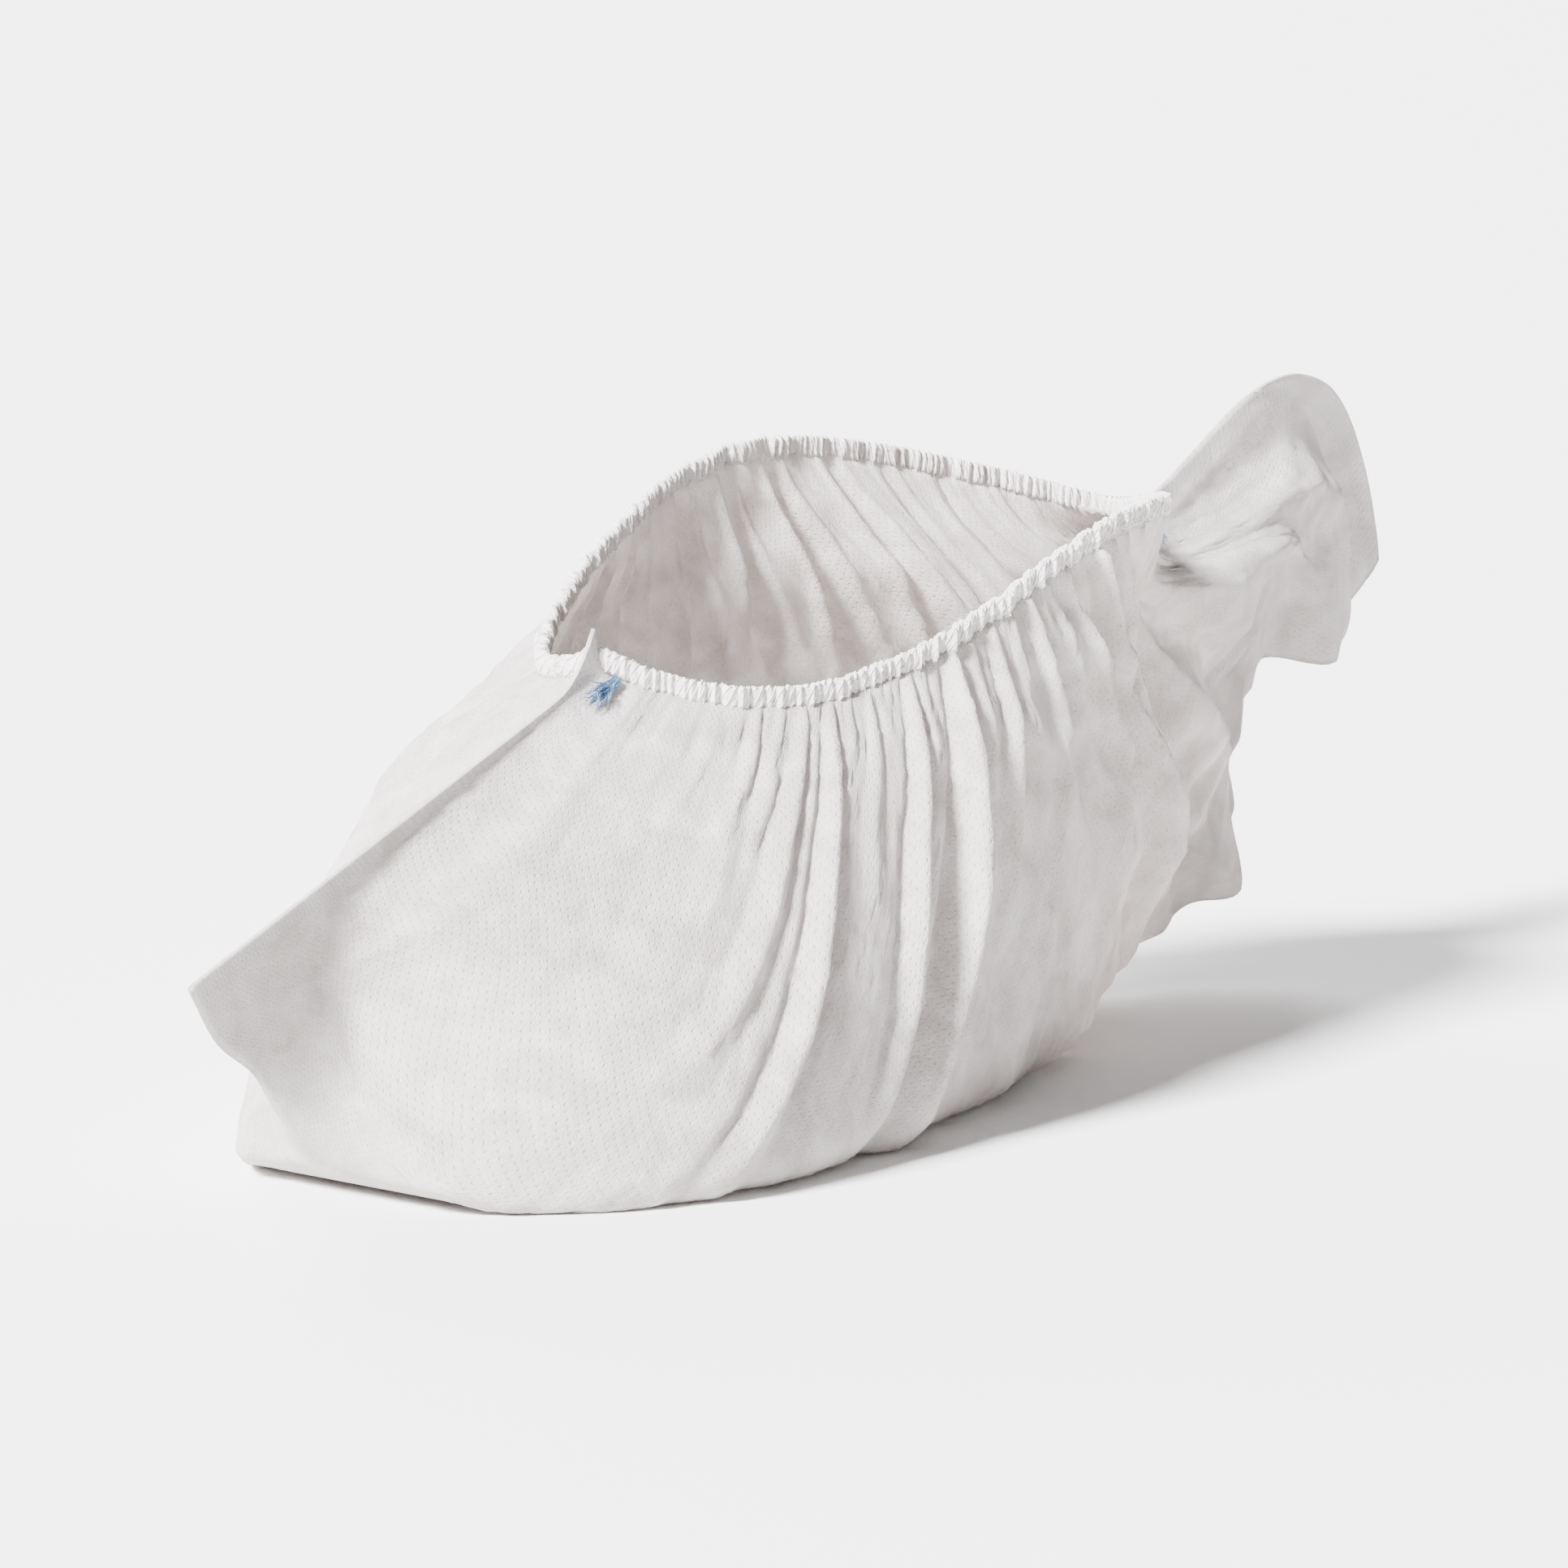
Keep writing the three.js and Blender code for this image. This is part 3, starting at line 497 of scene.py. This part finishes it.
def spunbond_group():
    """Node group of the cloth: its colour from drifts of thicker and thinner fibre, and its height from the
    fibres and from small diamond bond points pressed in rows."""
    group = bpy.data.node_groups.new("spunbond", "ShaderNodeTree")
    group.interface.new_socket("Color", in_out="OUTPUT", socket_type="NodeSocketColor")
    group.interface.new_socket("Height", in_out="OUTPUT", socket_type="NodeSocketFloat")
    nodes, links, math_node = group.nodes, group.links, math_in(group)

    def noise(source, scale, detail, distortion=0):
        node = nodes.new("ShaderNodeTexNoise")
        node.inputs["Scale"].default_value = scale
        node.inputs["Detail"].default_value = detail
        node.inputs["Distortion"].default_value = distortion
        links.new(source, node.inputs["Vector"])
        return node.outputs["Fac"]

    object_place = nodes.new("ShaderNodeTexCoord").outputs["Object"]
    sheet_place = nodes.new("ShaderNodeUVMap").outputs["UV"]
    drifts = noise(object_place, 130, 7, 0.6)
    threads = noise(sheet_place, 1500, 5, 1.6)
    split = nodes.new("ShaderNodeSeparateXYZ")
    links.new(sheet_place, split.inputs["Vector"])
    rows = []
    for side in (1, -1):
        slant = math_node("ADD", split.outputs["X"], math_node("MULTIPLY", split.outputs["Y"], side))
        rows.append(math_node("SINE", math_node("MULTIPLY", slant, BOND_TURNS)))
    points = math_node("SMOOTH_MIN", rows[0], rows[1])
    pressed = math_node("MULTIPLY", math_node("MAXIMUM", math_node("SUBTRACT", points, 0.35)), BOND_SHARP)
    tone = math_node("ADD", math_node("MULTIPLY", drifts, 0.72), math_node("MULTIPLY", threads, 0.28))
    tones = two_tones(nodes, (0.35, (0.62, 0.565, 0.545, 1)), (0.66, (0.82, 0.782, 0.768, 1)))
    links.new(tone, tones.inputs["Fac"])
    out = nodes.new("NodeGroupOutput")
    links.new(tones.outputs["Color"], out.inputs["Color"])
    links.new(math_node("SUBTRACT", threads, math_node("MULTIPLY", pressed, 0.8)), out.inputs["Height"])
    return group


spunbond = spunbond_group()


def cloth_material(name):
    """Material with nothing in it but the cloth's node group, which comes with it."""
    material = bpy.data.materials.new(name)
    material.use_nodes = True
    material.node_tree.nodes.clear()
    cloth = material.node_tree.nodes.new("ShaderNodeGroup")
    cloth.node_tree = spunbond
    return material, cloth


def bumped(tree, height, strength):
    """Bump node that takes a height in sheet thicknesses."""
    bump = tree.nodes.new("ShaderNodeBump")
    bump.inputs["Strength"].default_value = strength
    bump.inputs["Distance"].default_value = SHEET_THICKNESS
    tree.links.new(height, bump.inputs["Height"])
    return bump


def bag_material():
    """Thin white spunbond that lets light through, with ticks pressed across it along both end welds."""
    material, cloth = cloth_material("nonwoven")
    nodes, links = material.node_tree.nodes, material.node_tree.links
    math_node = math_in(material.node_tree)
    split = nodes.new("ShaderNodeSeparateXYZ")
    links.new(nodes.new("ShaderNodeUVMap").outputs["UV"], split.inputs["Vector"])

    from_middle = math_node("ABSOLUTE", math_node("SUBTRACT", split.outputs["X"], SHEET_LENGTH / 2))
    from_end = math_node("SUBTRACT", SHEET_LENGTH / 2, from_middle)
    band = math_node("MULTIPLY", math_node("LESS_THAN", from_end, WELD_END),
                     math_node("GREATER_THAN", from_end, WELD_START))
    tick_wave = math_node("SINE", math_node("MULTIPLY", split.outputs["Y"], TICK_TURNS))
    weld = math_node("MULTIPLY", band, math_node("GREATER_THAN", tick_wave, 0.2))
    height = math_node("SUBTRACT", cloth.outputs["Height"], math_node("MULTIPLY", weld, TICK_DEPTH))
    shade = nodes.new("ShaderNodeMix")
    shade.data_type = "RGBA"
    links.new(math_node("MULTIPLY", weld, 0.30), shade.inputs["Factor"])
    links.new(cloth.outputs["Color"], shade.inputs["A"])
    shade.inputs["B"].default_value = (0.46, 0.46, 0.47, 1)
    bump = bumped(material.node_tree, height, 0.7)
    body = nodes.new("ShaderNodeBsdfPrincipled")
    body.inputs["Roughness"].default_value = 0.85
    body.inputs["Specular IOR Level"].default_value = 0.25
    body.inputs["Sheen Weight"].default_value = 0.12
    body.inputs["Sheen Roughness"].default_value = 0.5
    glow = nodes.new("ShaderNodeBsdfTranslucent")
    for shader, colour in ((body, "Base Color"), (glow, "Color")):
        links.new(shade.outputs["Result"], shader.inputs[colour])
        links.new(bump.outputs["Normal"], shader.inputs["Normal"])
    mix = nodes.new("ShaderNodeMixShader")
    mix.inputs["Fac"].default_value = 0.38
    links.new(body.outputs["BSDF"], mix.inputs[1])
    links.new(glow.outputs["BSDF"], mix.inputs[2])
    out = nodes.new("ShaderNodeOutputMaterial")
    links.new(mix.outputs["Shader"], out.inputs["Surface"])
    return material


bag.data.materials.append(bag_material())
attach(bag, "root")
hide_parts("nonwoven_bag")

# The gathered hem
# The bag's edge, turned over a thin elastic and sewn round by an overlock machine. The elastic pulls it up
# into fine gathers, so the band stands in small waves round the whole opening.
HEM_HEIGHT, HEM_THICKNESS, HEM_STEPS, HEM_LIFT = 3.9, 1.15, 2520, -0.2
HEM_PUCKERS, PUCKER_SIZE, PUCKER_RISE, HEM_SECTION = 268, 0.24, 0.3, 12
PUCKER_STRAY, STRAY_TURNS, RIM_STEP = 2.2, 31, 0.002
THICK_ROUNDING, HIGH_ROUNDING = 0.6, 0.7
hem_place = np.linspace(0, 1, HEM_STEPS, endpoint=False)


def hem_frame(place):
    """Rim points, level outward directions and the height of the finest gathers at shares of the rim."""
    centre = along_route(rim_curve, place % 1)
    ahead = along_route(rim_curve, (place + RIM_STEP) % 1) - along_route(rim_curve, (place - RIM_STEP) % 1)
    out = np.stack([ahead[:, 1], -ahead[:, 0], 0 * ahead[:, 0]], axis=1)
    out /= np.linalg.norm(out, axis=1)[:, None]
    near = place % 1 < heel_share
    share = np.where(near, place % 1 / heel_share, (1 - place % 1) / (1 - heel_share))
    wave = np.zeros(len(place))
    for side, mask in ((1, near), (-1, ~near)):
        total = sum(gather_height(share[mask], side))
        wave[mask] = total * rising(from_ends(share[mask]), 0, SEAM_FADE)
    return centre, out, wave


def hem_points(place, turn, proud):
    """Points on a soft flat band at shares of the rim and turns round its section, standing proud of it. The
    section is a rounded box, and puckers make it thicker and higher in turn."""
    centre, out, wave = hem_frame(place.ravel())
    stray = PUCKER_STRAY * np.sin(2 * np.pi * STRAY_TURNS * place)
    pucker = np.sin(2 * np.pi * HEM_PUCKERS * place + stray)
    thick = np.sign(np.cos(turn)) * np.abs(np.cos(turn)) ** THICK_ROUNDING
    high = np.sign(np.sin(turn)) * np.abs(np.sin(turn)) ** HIGH_ROUNDING
    level = thick * (HEM_THICKNESS / 2 + proud + PUCKER_SIZE * pucker)
    rise = HEM_LIFT + HEM_HEIGHT / 2 + high * (HEM_HEIGHT / 2 + proud + PUCKER_RISE / 2 * pucker)
    wave, centre, out = (a.reshape(place.shape + a.shape[1:]) for a in (wave, centre, out))
    points = centre + out * (wave + level)[..., None]
    points[..., 2] += rise
    return points


hem_turns = np.linspace(0, 2 * np.pi, HEM_SECTION + 1)
place_grid, turn_grid = np.meshgrid(hem_place, hem_turns, indexing="ij")
hem_uv = np.stack([0.05 + 0.6 * place_grid, turn_grid * 0.002], axis=-1)
hem = grid_mesh("gathered_band", hem_points(place_grid, turn_grid, 0), hem_uv, closed=True)
sewn_shut(hem)


def hem_material():
    """The same spunbond, doubled over the elastic, so less light comes through it."""
    material, cloth = cloth_material("hem_cloth")
    nodes, links = material.node_tree.nodes, material.node_tree.links
    bump = bumped(material.node_tree, cloth.outputs["Height"], 0.6)
    body = nodes.new("ShaderNodeBsdfPrincipled")
    body.inputs["Roughness"].default_value = 0.9
    body.inputs["Specular IOR Level"].default_value = 0.2
    links.new(cloth.outputs["Color"], body.inputs["Base Color"])
    links.new(bump.outputs["Normal"], body.inputs["Normal"])
    out = nodes.new("ShaderNodeOutputMaterial")
    links.new(body.outputs["BSDF"], out.inputs["Surface"])
    return material


hem.data.materials.append(hem_material())
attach(hem, "root")
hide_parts("gathered_hem")

# The overlock thread
# Fine white thread that the machine winds round the hem, one slanted loop beside the next, about 1.9 mm
# apart. It is the stitching that shows as small bright loops along the band.
LOOPS, LOOP_SAMPLES, LOOP_SLANT, THREAD_RADIUS, THREAD_SIDES = 336, 14, 0.8, 0.13, 5
THREAD_SUNK, OUTSIDE = 0.7, 3


def tube_grid(path, beside, radius, sides):
    """Round tube along a path: a ring of points in the plane of two directions square to the path at each."""
    ahead = np.gradient(path, axis=0)
    first = np.cross(ahead, beside)
    first /= length(first)[..., None]
    second_way = np.cross(ahead, first)
    second_way /= length(second_way)[..., None]
    turn = np.linspace(0, 2 * np.pi, sides + 1)
    radius = np.broadcast_to(radius, len(path))[:, None, None]
    ring = first[:, None] * np.cos(turn)[None, :, None] + second_way[:, None] * np.sin(turn)[None, :, None]
    return path[:, None] + radius * ring


def overlock_path():
    """Helix round the hem's section, whose slant leans each loop along the rim, and a wider one round it."""
    steps = np.arange(LOOPS * LOOP_SAMPLES) / LOOP_SAMPLES
    turn = 2 * np.pi * steps
    place = (steps + LOOP_SLANT * np.sin(turn)) / LOOPS
    return hem_points(place, turn, THREAD_RADIUS * THREAD_SUNK), hem_points(place, turn, OUTSIDE)


thread_path, thread_outside = overlock_path()
thread_tube = tube_grid(thread_path, thread_outside - thread_path, THREAD_RADIUS, THREAD_SIDES)
stitches = grid_mesh("overlock_thread", thread_tube, closed=True)
sewn_shut(stitches)


def strand_material(name, scale, detail, start, end, roughness, sheen):
    """Fine thread whose colour runs between two tones from place to place along it."""
    material = bpy.data.materials.new(name)
    material.use_nodes = True
    nodes, links = material.node_tree.nodes, material.node_tree.links
    noise = nodes.new("ShaderNodeTexNoise")
    noise.inputs["Scale"].default_value = scale
    noise.inputs["Detail"].default_value = detail
    links.new(nodes.new("ShaderNodeTexCoord").outputs["Object"], noise.inputs["Vector"])
    tones = two_tones(nodes, start, end)
    links.new(noise.outputs["Fac"], tones.inputs["Fac"])
    body = nodes["Principled BSDF"]
    links.new(tones.outputs["Color"], body.inputs["Base Color"])
    body.inputs["Roughness"].default_value = roughness
    body.inputs["Sheen Weight"].default_value = sheen
    return material


# White spun polyester with a soft shine.
stitches.data.materials.append(strand_material(
    "overlock_thread", 2600, 2, (0, (0.56, 0.54, 0.54, 1)), (1, (0.76, 0.75, 0.75, 1)), 0.55, 0.3))
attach(stitches, "root")

# The elastic's two ends
# The sewn-in elastic is cut off at the toe and at the heel, and its blue rubber-cored threads fray into a
# small tuft below the hem. Each tuft is a bundle of fine bent threads that splay towards their tips.
END_LENGTH, END_GAP, END_RADIUS, END_SAMPLES = 12.0, 1.2, 0.8, 10
STRANDS, STRAND_RADIUS, STRAND_SPLAY, STRAND_SIDES = 70, 0.11, 2.4, 4
END_START, SHORTEST, SPLAY_POWER, WAVER = 1.5, 0.45, 1.4, 0.35
STRAND_TAPER = ((0, .12, .8, 1), (0, 1, 1, 0))


def strands_mesh(name, tubes):
    """One mesh of many tubes, each a grid of its own."""
    count, rows, columns = tubes.shape[:3]
    index = np.arange(count * rows * columns).reshape(count, rows, columns)
    faces = np.stack([index[:, :-1, :-1], index[:, 1:, :-1], index[:, 1:, 1:], index[:, :-1, 1:]], axis=-1)
    mesh = bpy.data.meshes.new(name)
    mesh.from_pydata(((tubes.reshape(-1, 3) + ORIGIN) * MM).tolist(), [], faces.reshape(-1, 4).tolist())
    piece = bpy.data.objects.new(name, mesh)
    bpy.context.scene.collection.objects.link(piece)
    sewn_shut(piece)
    return piece


def elastic_tuft(name, place, seed):
    """Bundle of strands down the near side of the cloth. Each starts in a disc, splays and wavers by its own
    amounts as it goes down, and ends at its own length."""
    rng = np.random.default_rng(seed)
    station = int(round(place * (STATIONS - 1)))
    column = bag_grid[station, CLIMB - 1:][::-1]
    drops = np.concatenate([[0], np.cumsum(length(np.diff(column, axis=0)))])
    ways = np.cross(np.gradient(bag_grid, axis=0), np.gradient(bag_grid, axis=1))[station, CLIMB - 1:][::-1]
    ways /= length(ways)[:, None]
    ways *= np.sign(ways[:, :1])
    share = np.linspace(0, 1, END_SAMPLES)
    radius = STRAND_RADIUS * np.interp(share, *STRAND_TAPER)
    tubes = []
    for _ in range(STRANDS):
        at = END_START + share * (END_LENGTH * rng.uniform(SHORTEST, 1))
        path, out = (np.stack([np.interp(at, drops, values[:, k]) for k in range(3)], axis=-1)
                     for values in (column, ways))
        ahead = np.gradient(path, axis=0)
        aside = np.cross(ahead, out)
        aside /= length(aside)[:, None]
        spot = rng.normal(0, 0.5, 2) * END_RADIUS
        splay = rng.normal(0, 0.6, 2) * STRAND_SPLAY * share[:, None] ** SPLAY_POWER
        waver = WAVER * np.sin(share[:, None] * rng.uniform(5, 12) + rng.uniform(0, 6, 2)) * share[:, None]
        shift = spot + splay + waver
        path = path + aside * shift[:, :1] + out * (END_GAP + np.abs(shift[:, 1:]))
        tubes.append(tube_grid(path, out, radius, STRAND_SIDES))
    return strands_mesh(name, np.stack(tubes))


# Faded blue covered rubber, darker and lighter from strand to strand.
elastic = strand_material(
    "elastic_thread", 700, 3, (0.3, (0.03, 0.09, 0.20, 1)), (0.7, (0.20, 0.31, 0.47, 1)), 0.6, 0)
TUFTS = (
    ("toe_elastic_tuft", "toe_elastic_end", 0.03, 21),
    ("heel_elastic_tuft", "heel_elastic_end", 0.95, 22),
)
for tuft_name, tuft_node, tuft_place, tuft_seed in TUFTS:
    tuft = elastic_tuft(tuft_name, tuft_place, tuft_seed)
    tuft.data.materials.append(elastic)
    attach(tuft, "root")
    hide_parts(tuft_node)

# The floor, the light and the camera
# A plain pale floor under two broad soft lights, the main one from the toe end and a weaker one from behind
# that shines through the tail. The photograph's long lens stands at its own angle, aimed at the cover.
FLOOR_REACH, FLOOR_COLOUR = 60, (0.90, 0.90, 0.90, 1)
ROOM_LIGHT = 0.28
LAMPS = (("key_light", (-0.20, -1.0, 0.78), 26.0, 14), ("back_light", (-1.0, 0.65, 0.42), 7.5, 35))
floor_mesh = bpy.data.meshes.new("floor")
floor_corners = [(x * FLOOR_REACH, y * FLOOR_REACH, 0) for x, y in ((-1, -1), (1, -1), (1, 1), (-1, 1))]
floor_mesh.from_pydata(floor_corners, [], [(0, 1, 2, 3)])
floor = bpy.data.objects.new("floor", floor_mesh)
bpy.context.scene.collection.objects.link(floor)
floor_paint = bpy.data.materials.new("floor_paint")
floor_paint.use_nodes = True
floor_body = floor_paint.node_tree.nodes["Principled BSDF"]
floor_body.inputs["Base Color"].default_value = FLOOR_COLOUR
floor_body.inputs["Roughness"].default_value = 0.95
floor_mesh.materials.append(floor_paint)

world = bpy.data.worlds.new("studio")
world.use_nodes = True
background = world.node_tree.nodes["Background"]
background.inputs["Color"].default_value = (1, 1, 1, 1)
background.inputs["Strength"].default_value = ROOM_LIGHT
bpy.context.scene.world = world

for lamp_name, lamp_from, lamp_strength, lamp_spread in LAMPS:
    light = bpy.data.lights.new(lamp_name, "SUN")
    light.energy, light.angle = lamp_strength, math.radians(lamp_spread)
    lamp = bpy.data.objects.new(lamp_name, light)
    lamp.rotation_euler = Vector(lamp_from).to_track_quat("Z", "Y").to_euler()
    bpy.context.scene.collection.objects.link(lamp)

AZIMUTH, ELEVATION, ROLL = 33.1, 9.5, 2.4
DISTANCE, FOCAL_PIXELS, IMAGE_PIXELS, ENLARGEMENT, SENSOR = 1.109, 5000, 1932, 1.5, 36
TARGET = Vector((-0.0012, -0.038, 0.040))
AIM_RIGHT, AIM_UP = 0.009, 0.0155
azimuth, elevation, roll = (math.radians(a) for a in (AZIMUTH, ELEVATION, ROLL))
back = Vector((math.sin(azimuth) * math.cos(elevation),
               -math.cos(azimuth) * math.cos(elevation),
               math.sin(elevation)))
right = Vector((math.cos(azimuth), math.sin(azimuth), 0))
up = back.cross(right)
turned_right = right * math.cos(roll) + up * math.sin(roll)
turned_up = up * math.cos(roll) - right * math.sin(roll)
lens = bpy.data.cameras.new("camera")
lens.sensor_width = SENSOR
lens.lens = SENSOR * FOCAL_PIXELS * ENLARGEMENT / IMAGE_PIXELS
camera = bpy.data.objects.new("camera", lens)
bpy.context.scene.collection.objects.link(camera)
place = TARGET + back * DISTANCE
aim = (place - (TARGET + turned_right * AIM_RIGHT + turned_up * AIM_UP)).normalized()
side_axis = (turned_right - aim * turned_right.dot(aim)).normalized()
camera.matrix_world = Matrix.Translation(place) @ Matrix(
    (side_axis, aim.cross(side_axis), aim)).transposed().to_4x4()
bpy.context.scene.camera = camera
